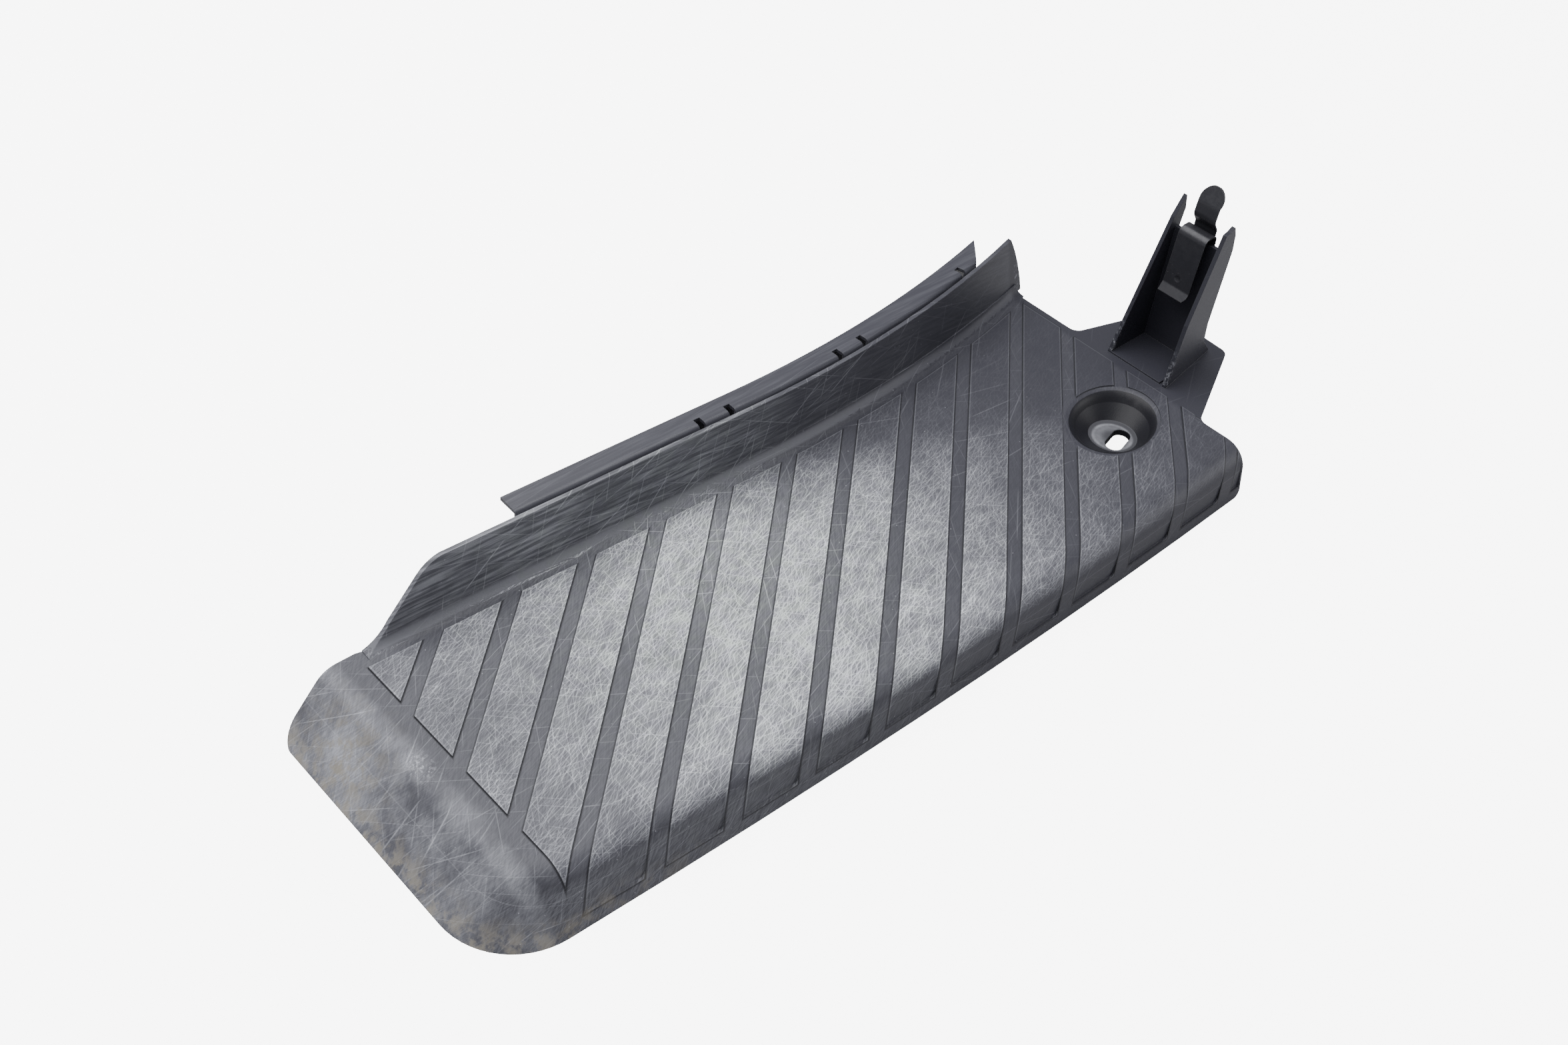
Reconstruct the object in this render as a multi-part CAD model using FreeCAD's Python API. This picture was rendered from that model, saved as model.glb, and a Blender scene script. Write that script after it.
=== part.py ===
import FreeCAD, Part
import math
import os

# Moulded entry step cover. Millimetres, +X along the step, +Y to the rear, +Z up.
# While it is drawn, z = 0 is the top of the tread's pads. The finished pieces are then moved so
# that the origin is the centre of the whole object's box, at the level it stands on.

V = FreeCAD.Vector
UP = V(0, 0, 1)

# Shell
WALL = 3.0
Z_RIM = -38.0
Z_TREAD = -1.0
NOSE_R = 18.0
X_APRON_FOOT = -318.0
X_APRON_TOP = -286.0
FOOT_CORNER_R = 49.0
TOP_CORNER_R = 34.0
FOOT_FRONT = [(-268.0, -137.5), (60.0, -146.5), (303.0, -143.0)]
FOOT_END_R = 6.0
TOP_FRONT = [(-238.0, -125.0), (70.0, -140.5), (303.0, -137.0)]
X_END = 301.0
Y_APRON_REAR = 68.0
APRON_CORNER_R = 12.0

# Tab beside the tread, which carries the tower
TAB_CORNERS = [(308.5, 22.0), (384.0, 0.0), (381.0, -61.0), (X_END, -98.0)]
TAB_R = 8.0

# Upstand: a straight run, then a tangent arc
BASE_X = 21.6
BASE_Y = 54.0
SLOPE = math.atan(0.035)
BASE_R = 1107.0
X_UPSTAND_START = -262.0
X_UPSTAND_END = 317.4
TREAD_SHORT = 8.0
UPSTAND_H = 42.0
LEAN = 4.6
TOP_R = 955.0
COVE_R = 7.0

# Pads
PAD_ANGLE = 41.585
PAD_W = 27.0
PAD_PITCH = 37.0
PAD_FIRST = -193.0
PAD_COUNT = 15
PAD_X_LEFT = -265.8
PAD_REAR_GAP = 10.0
PAD_LEDGE_Z = -30.0
PAD_CORNER_R = 3.5
PAD_TUCK = 2.2
PAD_PROUD = 0.8

# Screw cup
CUP_X = 250.5
CUP_Y = -60.8
CUP_LONG = 41.5
CUP_SHORT = 31.5
CUP_TURN = 14.0
SEAT_X = 255.0
SEAT_Y = -61.5
SEAT_R = 17.0
SEAT_Z = -16.5
SEAT_T = 5.0
SLOT_X = 255.0
SLOT_Y = -66.3
SLOT_LENGTH = 24.0
SLOT_W = 12.0
SLOT_EDGE_R = 0.6

# Clip tower
TOWER_Y = -32.5
TOWER_FRONT_TURN = 8.7
TOWER_REAR_OUT = 2.2
TOWER_SILL_Z = 0.4
TOWER_W_BASE = 46.0
TOWER_W_TOP = 41.0
TOWER_WALL = 3.0
TOWER_H = 117.0
TOWER_BACK_X = 348.0
TOWER_BACK_H = 93.0

# Clip of spring steel on the tower's back wall
CLIP_T = 1.0
CLIP_Y = -31.5
CLIP_W = 22.5
CLIP_FRONT_X = 339.5
CLIP_TOP_Z = 100.5
CLIP_FOOT_Z = 51.5
DIMPLE_R = 4.5
TONGUE_W = 18.0
TONGUE_HEAD_R = 9.3
TONGUE_TOP_Z = 132.5
TONGUE_FOOT_Z = 88.0
HINGE_GAP = 0.3

# Rear strip
STRIP_Z = 38.0
STRIP_T = 2.5
STRIP_W = 17.0
STRIP_Y = 67.2
STRIP_R = 985.0
STRIP_X_START = -150.0
STRIP_X_END = 290.0
STRIP_LEG_Z = 8.0
STRIP_BACK_Z = 12.0
STRIP_BACK_START = (-135.0, -75.0)
STRIP_END_CUT = [(259.0, 82.0), (281.5, 106.0)]
NOTCH_W = 5.0
NOTCH_D = 8.0
NOTCH_X = [-10.0, 14.0, 111.0, 135.0, 250.0]
STUD_X = [-128.0, -58.0, 56.0, 168.0, 222.0]
STUD_Z = 24.0
STUD_R = 2.0
STUD_HEAD_R = 3.6
BOSS_R = 4.0

# Underside
RIB_T = 2.0
RIB_Z = -12.0
RIB_X = [-220.0, -160.0, -100.0, -40.0, 20.0, 80.0, 140.0, 200.0]
BLADE_SPOTS = {"left": (-250.0, -20.0), "mid": (-10.0, 10.0), "front": (110.0, -100.0)}
BLADE_W = 26.0
BLADE_T = 3.0
BLADE_Z = -31.0
BODY_CLIP_T = 0.8
BODY_CLIP_W = 18.0
REST_PADS = {"left": (-190.0, 20.0), "right": (170.0, 20.0), "front_left": (-130.0, -90.0),
             "front_right": (50.0, -100.0)}
REST_PAD_SIZE = (40.0, 20.0, 6.0)


def prism(points, z_low, z_high):
    corners = [V(x, y, z_low) for x, y in points]
    return Part.Face(Part.makePolygon(corners + corners[:1])).extrude(UP * (z_high - z_low))


def box(x, y, z, dx, dy, dz):
    return Part.makeBox(dx, dy, dz, V(x, y, z))


def side_plate(points, y, thickness):
    """A plate drawn as x, z points, from y towards +Y."""
    corners = [V(x, y, z) for x, z in points]
    face = Part.Face(Part.makePolygon(corners + corners[:1]))
    return face.extrude(V(0, thickness, 0))


def circle_through(points):
    circle = Part.Arc(*[V(x, y, 0) for x, y in points]).toShape().Curve
    return circle.Center, circle.Radius


def plan_outline(x_left, corner_r, front, grow, z):
    """Left side, rounded corner, bowed front and right side of the shell at one level."""
    centre, radius = circle_through(front)
    radius += grow
    corner_r += grow
    x_left -= grow
    cx = x_left + corner_r
    reach = radius - corner_r
    cy = centre.y - math.sqrt(reach ** 2 - (cx - centre.x) ** 2)
    away = (V(cx, cy, 0) - centre).normalize()
    corner = V(cx, cy, z)
    joint = V(centre.x, centre.y, z) + away * radius
    bisector = (away + V(-1, 0, 0)).normalize()
    x_right = X_END + 100
    right = V(x_right, centre.y - math.sqrt(radius ** 2 - (x_right - centre.x) ** 2), z)
    low = V(centre.x, centre.y - radius, z)
    start = V(x_left, cy, z)
    y_back = 140
    edges = [
        Part.makeLine(V(x_left, y_back, z), start),
        Part.Arc(start, corner + bisector * corner_r, joint).toShape(),
        Part.Arc(joint, low, right).toShape(),
        Part.makeLine(right, V(x_right, y_back, z)),
        Part.makeLine(V(x_right, y_back, z), V(x_left, y_back, z)),
    ]
    return Part.Wire(edges)


def shell_block(foot_grow, top_grow, z_top, nose_r):
    """The drafted block with a rounded nose, from which the shell is made."""
    foot = plan_outline(X_APRON_FOOT, FOOT_CORNER_R, FOOT_FRONT, foot_grow, Z_RIM)
    top = plan_outline(X_APRON_TOP, TOP_CORNER_R, TOP_FRONT, top_grow, z_top)
    block = Part.makeLoft([foot, top], True, True)
    nose = []
    for edge in block.Edges:
        low = edge.BoundBox
        at_top = abs(low.ZMin - z_top) < 0.01 and abs(low.ZMax - z_top) < 0.01
        if at_top and low.YMin < 100 and low.XMin < X_END:
            nose.append(edge)
    return block.makeFillet(nose_r, nose)


def curve_point(x, offset, start_y, radius):
    """A point of a line-and-arc curve, moved to the rear by offset, and its rearward normal."""
    side = V(math.sin(SLOPE), math.cos(SLOPE), 0)
    if x <= BASE_X:
        spot = V(x, start_y - (x - BASE_X) * math.tan(SLOPE), 0)
        return spot + side * offset, side
    centre = V(BASE_X, start_y, 0) + side * radius
    turn = math.asin((x - centre.x) / radius)
    normal = V(-math.sin(turn), math.cos(turn), 0)
    return centre - normal * (radius - offset), normal


def curve_edges(x_start, x_end, offset, start_y, radius, z):
    """Line and arc edges of such a curve, from x_start to x_end."""
    lift = UP * z
    bend, _ = curve_point(BASE_X, offset, start_y, radius)
    first, _ = curve_point(x_start, offset, start_y, radius)
    middle, _ = curve_point((BASE_X + x_end) / 2, offset, start_y, radius)
    last, _ = curve_point(x_end, offset, start_y, radius)
    line = Part.makeLine(first + lift, bend + lift)
    arc = Part.Arc(bend + lift, middle + lift, last + lift).toShape()
    return line, arc


def band_wire(x_start, x_end, near, far, start_y, radius, z):
    """Closed outline between two offsets of the curve."""
    line_a, arc_a = curve_edges(x_start, x_end, near, start_y, radius, z)
    line_b, arc_b = curve_edges(x_start, x_end, far, start_y, radius, z)
    end = Part.makeLine(arc_a.Vertexes[-1].Point, arc_b.Vertexes[-1].Point)
    back = Part.makeLine(line_b.Vertexes[0].Point, line_a.Vertexes[0].Point)
    return Part.Wire([line_a, arc_a, end, arc_b, line_b, back])


def band(x_start, x_end, near, far, start_y, radius, z_low, z_high):
    wire = band_wire(x_start, x_end, near, far, start_y, radius, z_low)
    return Part.Face(wire).extrude(UP * (z_high - z_low))


def swept(profile, x_start, x_end, start_y, radius):
    """A profile of (offset, z) points or edges, carried along the line and then the arc."""
    side = V(math.sin(SLOPE), math.cos(SLOPE), 0)
    bend, _ = curve_point(BASE_X, 0, start_y, radius)
    first, _ = curve_point(x_start, 0, start_y, radius)
    last, _ = curve_point(x_end, 0, start_y, radius)
    centre = bend + side * radius
    frame = FreeCAD.Matrix(side.x, 0, 0, bend.x, side.y, 0, 0, bend.y, 0, 1, 0, 0)
    face = Part.Face(profile).transformGeometry(frame)
    straight = face.extrude(first - bend)
    turn = (bend - centre).getAngle(last - centre)
    curved = face.revolve(centre, UP, math.degrees(turn))
    return straight.fuse(curved).removeSplitter()


def rounded_corners(points, radius, z):
    """A closed outline with each corner rounded, as a wire."""
    edges = []
    count = len(points)
    spots = []
    for i, (x, y, r) in enumerate(points):
        here = V(x, y, z)
        before = V(points[i - 1][0], points[i - 1][1], z)
        after = V(points[(i + 1) % count][0], points[(i + 1) % count][1], z)
        to_before = (before - here).normalize()
        to_after = (after - here).normalize()
        if r == 0:
            spots.append((here, here, here))
            continue
        half = to_before.getAngle(to_after) / 2
        run = r / math.tan(half)
        inward = (to_before + to_after).normalize()
        middle = here + inward * (r / math.sin(half) - r)
        spots.append((here + to_before * run, middle, here + to_after * run))
    for i, (enter, middle, leave) in enumerate(spots):
        if (enter - leave).Length > 1e-6:
            edges.append(Part.Arc(enter, middle, leave).toShape())
        edges.append(Part.makeLine(leave, spots[(i + 1) % count][0]))
    return Part.Wire(edges)


def plan_prism():
    """Everything inside the moulding's plan outline, as a tall prism."""
    x_end = X_UPSTAND_END - TREAD_SHORT
    rear_line, rear_arc = curve_edges(X_UPSTAND_START, x_end, WALL, BASE_Y, BASE_R, -60)
    corners = [(x, y, TAB_R) for x, y in TAB_CORNERS]
    start = rear_line.Vertexes[0].Point
    end = rear_arc.Vertexes[-1].Point
    around = [(end.x, end.y, 0)] + corners + [(X_END, -200.0, 0), (-360.0, -200.0, 0)]
    around += [(-360.0, Y_APRON_REAR, 0), (start.x - 4, Y_APRON_REAR, 0), (start.x, start.y, 0)]
    outline = rounded_corners(around, TAB_R, -60)
    edges = [e for e in outline.Edges if not rear_side(e, start, end)]
    wire = Part.Wire(Part.__sortEdges__(edges + [rear_line, rear_arc]))
    return Part.Face(wire).extrude(UP * 200)


def rear_side(edge, start, end):
    """True for the straight stand-in that the upstand's own curve takes the place of."""
    a, b = edge.Vertexes[0].Point, edge.Vertexes[-1].Point
    spans = {round(a.x, 2), round(b.x, 2)} == {round(start.x, 2), round(end.x, 2)}
    return spans


def pad_zone():
    """The part of the plan that the pads may cover, with the cup's mouth left out."""
    line, arc = curve_edges(PAD_X_LEFT, 303.0, -PAD_REAR_GAP, BASE_Y, BASE_R, PAD_LEDGE_Z)
    first = line.Vertexes[0].Point
    last = arc.Vertexes[-1].Point
    x_skirt = X_END - 2
    corners = [last, V(304.5, 30, 0), V(302, 14, 0), V(302, -92, 0), V(x_skirt, -97, 0),
               V(x_skirt, -200, 0), V(PAD_X_LEFT, -200, 0), first]
    corners = [V(p.x, p.y, PAD_LEDGE_Z) for p in corners]
    edges = [Part.makeLine(a, b) for a, b in zip(corners, corners[1:])]
    zone = Part.Face(Part.Wire([line, arc] + edges)).extrude(UP * 40)
    cup = Part.Face(cup_section(0, 0, PAD_LEDGE_Z - 10)).extrude(UP * 60)
    return zone.cut(cup)


def pad_strips():
    """Slanted strips, one for each pad, with the lower edge rounded on one side."""
    angle = math.radians(PAD_ANGLE)
    across = V(math.sin(angle), -math.cos(angle), 0)
    strips = []
    for number in range(PAD_COUNT):
        inner = PAD_FIRST - PAD_W + number * PAD_PITCH
        strip = Part.makeBox(PAD_W, 900, 40)
        low = []
        for edge in strip.Edges:
            ends = edge.BoundBox
            if ends.XMin > PAD_W - 1 and ends.ZMax < 1 and ends.YLength > 100:
                low.append(edge)
        strip = strip.makeFillet(PAD_CORNER_R, low)
        strip.rotate(V(0, 0, 0), UP, math.degrees(math.atan2(across.y, across.x)))
        along = V(-across.y, across.x, 0)
        strip.translate(across * inner - along * 450 + UP * PAD_LEDGE_Z)
        strips.append(strip)
    return Part.makeCompound(strips)


def padded_block():
    """The outer block with its raised pads, which sink into pockets on the front skirt."""
    grooves = shell_block(0, 0, Z_TREAD, NOSE_R)
    pads = shell_block(-PAD_TUCK, PAD_PROUD, 0, NOSE_R)
    strips = pad_zone().common(pad_strips())
    return grooves.cut(strips).fuse(pads.common(strips))


def oval(long_r, short_r, x, y, z):
    """A closed ellipse, with its long axis turned like the slot."""
    ellipse = Part.Ellipse(V(0, 0, 0), long_r, short_r).toShape()
    ellipse.rotate(V(0, 0, 0), UP, CUP_TURN)
    ellipse.translate(V(x, y, z))
    return Part.Wire([ellipse])


def cup_section(share, grow, z):
    """A section between the oval mouth, at share 0, and the round seat, at share 1."""
    x = CUP_X + (SEAT_X - CUP_X) * share
    y = CUP_Y + (SEAT_Y - CUP_Y) * share
    long_r = CUP_LONG + (SEAT_R + 0.01 - CUP_LONG) * share + grow
    short_r = CUP_SHORT + (SEAT_R - CUP_SHORT) * share + grow
    return oval(long_r, short_r, x, y, z)


def slot_block(grow, z_low, z_high):
    half = SLOT_W / 2 + grow
    reach = (SLOT_LENGTH - SLOT_W) / 2
    slot = box(-reach, -half, z_low, 2 * reach, 2 * half, z_high - z_low)
    for end in (-reach, reach):
        slot = slot.fuse(Part.makeCylinder(half, z_high - z_low, V(end, 0, z_low)))
    slot = slot.removeSplitter()
    slot.rotate(V(0, 0, 0), UP, CUP_TURN)
    slot.translate(V(SLOT_X, SLOT_Y, 0))
    return slot


def cup_parts():
    """The cup's solid and the space inside it, from an oval mouth to a round seat."""
    levels = [(0.0, Z_TREAD + 0.02), (0.13, Z_TREAD - 0.45), (0.25, Z_TREAD - 1.7),
              (0.36, Z_TREAD - 4.0), (0.47, Z_TREAD - 7.0)]
    lip = Part.makeLoft([cup_section(share, 0, z) for share, z in levels], True, False)
    last_share, last_z = levels[-1]
    lower = [cup_section(last_share, 0, last_z), cup_section(1, 0, SEAT_Z)]
    wall = Part.makeLoft(lower, True, True)
    above = Part.Face(cup_section(0, 0, Z_TREAD + 0.02)).extrude(UP * 10)
    rim = cup_section(0.12, 0, Z_TREAD - 1)
    waist = cup_section(0.40, WALL, last_z)
    seat = cup_section(1, WALL, SEAT_Z - SEAT_T)
    body = Part.makeLoft([rim, waist, seat], True, True)
    top = SEAT_Z + 0.01
    hole = slot_block(0, SEAT_Z - 20, SEAT_Z + 1)
    round_off = slot_block(SLOT_EDGE_R, SEAT_Z - SLOT_EDGE_R, top)
    low = [e for e in round_off.Edges if e.BoundBox.ZMax < SEAT_Z - SLOT_EDGE_R + 0.01]
    round_off = round_off.makeChamfer(SLOT_EDGE_R * 0.98, low)
    return body, [lip, wall, above, hole, round_off]


def upstand():
    """The leaning upstand with its cove, and the rear skirt under it."""
    x_far = X_UPSTAND_END + 6
    foot = band_wire(X_UPSTAND_START, x_far, 0, WALL, BASE_Y, BASE_R, Z_TREAD - 1)
    head = band_wire(X_UPSTAND_START, x_far, 0, WALL, BASE_Y + LEAN, TOP_R, UPSTAND_H)
    wall = Part.makeLoft([foot, head], True, True)
    tilt = LEAN / UPSTAND_H
    low = V(-COVE_R, Z_TREAD, 0)
    high = V(COVE_R * tilt, Z_TREAD + COVE_R, 0)
    dip = V(-COVE_R * 0.29, Z_TREAD + COVE_R * 0.29, 0)
    cove = Part.Wire([
        Part.Arc(low, dip, high).toShape(),
        Part.makeLine(high, V(1.5, Z_TREAD + COVE_R, 0)),
        Part.makeLine(V(1.5, Z_TREAD + COVE_R, 0), V(1.5, Z_TREAD - 1, 0)),
        Part.makeLine(V(1.5, Z_TREAD - 1, 0), V(-COVE_R, Z_TREAD - 1, 0)),
        Part.makeLine(V(-COVE_R, Z_TREAD - 1, 0), low),
    ])
    fillet = swept(cove, X_UPSTAND_START, X_UPSTAND_END - TREAD_SHORT, BASE_Y, BASE_R)
    x_skirt = X_UPSTAND_END - TREAD_SHORT - 1
    skirt = band(X_APRON_TOP + 6, x_skirt, 0, WALL, BASE_Y, BASE_R, Z_RIM, Z_TREAD - 1)
    wall = wall.fuse(fillet).cut(upstand_end_cuts())
    return wall.fuse(skirt)


def upstand_end_cuts():
    """What is cut away to give the upstand its curved left end and slanted right end."""
    x = X_UPSTAND_START + 2
    high = UPSTAND_H + 10
    low_bend = Part.Arc(V(x - 8, 30, Z_TREAD - 0.5), V(x + 6, 30, 3), V(x + 16, 30, 12)).toShape()
    ramp = Part.makeLine(V(x + 16, 30, 12), V(x + 38, 30, 34))
    top_bend = Part.Arc(V(x + 38, 30, 34), V(x + 48, 30, 40.5), V(x + 62, 30, UPSTAND_H)).toShape()
    corners = [V(x + 62, 30, UPSTAND_H), V(x + 62, 30, high), V(x - 20, 30, high),
               V(x - 20, 30, Z_TREAD - 0.5), V(x - 8, 30, Z_TREAD - 0.5)]
    edges = [Part.makeLine(a, b) for a, b in zip(corners, corners[1:])]
    left = Part.Face(Part.Wire([low_bend, ramp, top_bend] + edges)).extrude(V(0, 60, 0))
    x = X_UPSTAND_END
    z = Z_TREAD - 2
    slant = Part.Arc(V(x, 60, z), V(x - 4.5, 60, 22), V(x - 14, 60, UPSTAND_H + 1)).toShape()
    corners = [V(x - 14, 60, UPSTAND_H + 1), V(x + 30, 60, UPSTAND_H + 1),
               V(x + 30, 60, z), V(x, 60, z)]
    edges = [Part.makeLine(a, b) for a, b in zip(corners, corners[1:])]
    right = Part.Face(Part.Wire([slant] + edges)).extrude(V(0, 60, 0))
    return Part.makeCompound([left, right])


def tower():
    """Open channel: two spear-shaped side walls and a lower back wall."""
    back = TOWER_BACK_X
    rear_wall = [(310, -2), (310, 0), (343, 102), (351.5, TOWER_H), (354.5, 106), (353, 93),
                 (354, 30), (357, 12), (366, 0), (366, -2)]
    front_wall = [(309, -2), (309, 0), (320, 46), (346.5, 107.5), (352, 107.5), (358.5, 109),
                  (362.5, 101), (365, 88), (357, 30), (359, 14), (372, 0), (372, -2)]
    lean = math.degrees(math.atan2((TOWER_W_BASE - TOWER_W_TOP) / 2, TOWER_H))
    half = TOWER_W_BASE / 2
    left = side_plate(rear_wall, TOWER_Y + half - TOWER_WALL + TOWER_REAR_OUT, TOWER_WALL)
    left.rotate(V(0, TOWER_Y + half, 0), V(1, 0, 0), lean * 0.6)
    right = side_plate(front_wall, TOWER_Y - half, TOWER_WALL)
    right.rotate(V(0, TOWER_Y - half, 0), V(1, 0, 0), -lean)
    right.rotate(V(back - 5, TOWER_Y - half, 0), UP, TOWER_FRONT_TURN)
    plate = [(TOWER_Y - half + 1, -2), (TOWER_Y + half + TOWER_REAR_OUT - 1, -2),
             (TOWER_Y + TOWER_W_TOP / 2 + TOWER_REAR_OUT, TOWER_BACK_H),
             (TOWER_Y - TOWER_W_TOP / 2 + 1, TOWER_BACK_H)]
    corners = [V(back, y, z) for y, z in plate]
    rear = Part.Face(Part.makePolygon(corners + corners[:1])).extrude(V(TOWER_WALL, 0, 0))
    sill = box(front_wall[0][0] + 1, TOWER_Y - half + 1, -2, back - front_wall[0][0],
               TOWER_W_BASE, 2 + TOWER_SILL_Z)
    return left.fuse([right, rear, sill])


def studs():
    """Spacer bosses on the upstand's back with riveted-over studs that hold the strip."""
    pieces = []
    for x in STUD_X:
        spot, normal = curve_point(x, 0, STRIP_Y, STRIP_R)
        spot = spot + UP * STUD_Z
        boss = Part.makeCylinder(BOSS_R, 9, spot - normal * 9, normal)
        stud = Part.makeCylinder(STUD_R, STRIP_T + 1, spot - normal * 0.5, normal)
        head = Part.makeCone(STUD_HEAD_R, STUD_R, 2.0, spot + normal * STRIP_T, normal)
        pieces += [boss, stud, head]
    return pieces


def underside():
    """Ribs across the tread and the blades that carry the body clips."""
    pieces = []
    top = Z_TREAD - WALL + 0.5
    for x in RIB_X:
        pieces.append(box(x, -115, RIB_Z, RIB_T, 165, top - RIB_Z))
    pieces.append(box(RIB_X[0], -40, RIB_Z, RIB_X[-1] - RIB_X[0], RIB_T, top - RIB_Z))
    for x, y in BLADE_SPOTS.values():
        pieces.append(box(x - BLADE_W / 2, y - BLADE_T / 2, BLADE_Z, BLADE_W, BLADE_T, top - BLADE_Z))
    return pieces


def rim_cuts():
    """What rounds the apron's rear corner and the lower corner of the skirt's right end."""
    r = APRON_CORNER_R
    x, y = X_APRON_FOOT + r, Y_APRON_REAR - r
    corner = box(x - r - 5, y, Z_RIM - 5, r + 5, r + 5, 30)
    corner = corner.cut(Part.makeCylinder(r, 40, V(x, y, Z_RIM - 10)))
    r = FOOT_END_R
    x, z = X_END - r, Z_RIM + r
    end = box(x, -200, z - r - 5, r + 5, 80, r + 5)
    end = end.cut(Part.makeCylinder(r, 100, V(x, -210, z), V(0, 1, 0)))
    return [corner, end]


def tread_panel():
    outer = padded_block().common(plan_prism())
    inner = shell_block(-WALL, -WALL, Z_TREAD - WALL, NOSE_R - WALL)
    shell = outer.cut(inner)
    body, space = cup_parts()
    panel = shell.fuse([upstand(), tower(), body] + underside() + studs())
    panel = panel.cut(space + rim_cuts())
    return panel.removeSplitter()


def rear_strip():
    """Retaining strip: a flat face and a leg, with snap tongues between pairs of notches."""
    t = STRIP_T
    corners = [V(0, STRIP_LEG_Z, 0), V(t, STRIP_LEG_Z, 0), V(t, STRIP_Z - t, 0),
               V(STRIP_W - t, STRIP_Z - t, 0), V(STRIP_W - t, STRIP_BACK_Z, 0),
               V(STRIP_W, STRIP_BACK_Z, 0), V(STRIP_W, STRIP_Z, 0)]
    lead = V(4, STRIP_Z, 0)
    drop = V(0, STRIP_Z - 4, 0)
    bend = V(4 - 4 * math.sin(math.pi / 4), STRIP_Z - 4 + 4 * math.cos(math.pi / 4), 0)
    lines = [Part.makeLine(a, b) for a, b in zip(corners, corners[1:])]
    lines.append(Part.makeLine(corners[-1], lead))
    lines.append(Part.Arc(lead, bend, drop).toShape())
    lines.append(Part.makeLine(drop, corners[0]))
    strip = swept(Part.Wire(lines), STRIP_X_START, STRIP_X_END, STRIP_Y, STRIP_R)
    (x_front, y_front), (x_rear, y_rear) = STRIP_END_CUT
    run = V(x_rear - x_front, y_rear - y_front, 0)
    beyond = [(x_front - run.x, y_front - run.y), (x_front + 80, y_front - run.y),
              (x_rear + 80, y_rear + run.y), (x_rear + run.x, y_rear + run.y)]
    tapered, whole = STRIP_BACK_START
    low = STRIP_BACK_Z - 5
    x_far = STRIP_X_START - 20
    taper = [(x_far, low), (whole, low), (tapered, STRIP_Z - t), (x_far, STRIP_Z - t)]
    cuts = [prism(beyond, 0, 60), side_plate(taper, STRIP_Y + STRIP_W / 2 + 1, 40)]
    for x in NOTCH_X:
        spot, normal = curve_point(x, 0, STRIP_Y, STRIP_R)
        notch = box(-NOTCH_W / 2, -2, 30, NOTCH_W, NOTCH_D + 2, 20)
        notch.rotate(V(0, 0, 0), UP, math.degrees(math.atan2(normal.y, normal.x)) - 90)
        notch.translate(spot)
        cuts.append(notch)
    for x in STUD_X:
        spot, normal = curve_point(x, -1, STRIP_Y, STRIP_R)
        cuts.append(Part.makeCylinder(STUD_R + 0.1, STRIP_T + 2, spot + UP * STUD_Z, normal))
    return strip.cut(cuts)


def leaf(points, width, y):
    """A strip of spring steel: a centre line of x, z points with rounded bends, given thickness."""
    centre = [(x, z, r) for x, z, r in points]
    spine = open_rounded(centre, y)
    face_half = CLIP_T / 2
    near = spine.makeOffset2D(face_half, fill=False, openResult=True)
    far = spine.makeOffset2D(-face_half, fill=False, openResult=True)
    a0, a1 = wire_ends(near)
    b0, b1 = wire_ends(far)
    edges = near.Edges + far.Edges + [Part.makeLine(a0, b0), Part.makeLine(a1, b1)]
    wire = Part.Wire(Part.__sortEdges__(edges))
    return Part.Face(wire).extrude(V(0, width, 0))


def wire_ends(wire):
    points = [v.Point for v in wire.OrderedVertexes]
    return points[0], points[-1]


def open_rounded(points, y):
    """An open path of x, z points with rounded bends, in the plane at y."""
    edges = []
    at = V(points[0][0], y, points[0][1])
    for i in range(1, len(points) - 1):
        here = V(points[i][0], y, points[i][1])
        before = V(points[i - 1][0], y, points[i - 1][1])
        after = V(points[i + 1][0], y, points[i + 1][1])
        to_before = (before - here).normalize()
        to_after = (after - here).normalize()
        half = to_before.getAngle(to_after) / 2
        run = points[i][2] / math.tan(half)
        inward = (to_before + to_after).normalize()
        middle = here + inward * (points[i][2] / math.sin(half) - points[i][2])
        enter = here + to_before * run
        leave = here + to_after * run
        edges.append(Part.makeLine(at, enter))
        edges.append(Part.Arc(enter, middle, leave).toShape())
        at = leave
    edges.append(Part.makeLine(at, V(points[-1][0], y, points[-1][1])))
    return Part.Wire(edges)


def tower_clip():
    """Saddle clip: front leaf with a turned-out foot, bend over the wall, and rear leg."""
    back = TOWER_BACK_X + TOWER_WALL + CLIP_T / 2
    front = CLIP_FRONT_X
    path = [(front - 7, CLIP_FOOT_Z, 0), (front - 3, CLIP_FOOT_Z + 6, 2.5),
            (front, CLIP_TOP_Z, 5.0), (back, CLIP_TOP_Z, 4.0), (back, 72, 0)]
    body = leaf(path, CLIP_W, CLIP_Y - CLIP_W / 2)
    corner = [(CLIP_Y - CLIP_W / 2 - 1, CLIP_FOOT_Z - 5), (CLIP_Y - CLIP_W / 2 + 5, CLIP_FOOT_Z - 5),
              (CLIP_Y - CLIP_W / 2 - 1, CLIP_FOOT_Z + 5)]
    points = [V(front - 20, y, z) for y, z in corner]
    chamfer = Part.Face(Part.makePolygon(points + points[:1])).extrude(V(18, 0, 0))
    dimple = V(front - 3.4 - DIMPLE_R, CLIP_Y + 1, CLIP_FOOT_Z + 13)
    swell = Part.makeSphere(DIMPLE_R + 2 * CLIP_T, dimple)
    behind = box(front - 2.8, CLIP_Y - 10, CLIP_FOOT_Z, 10, 22, 40)
    body = body.cut(chamfer).fuse(swell.common(behind))
    return body.cut(Part.makeSphere(DIMPLE_R + CLIP_T, dimple)).removeSplitter()


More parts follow.
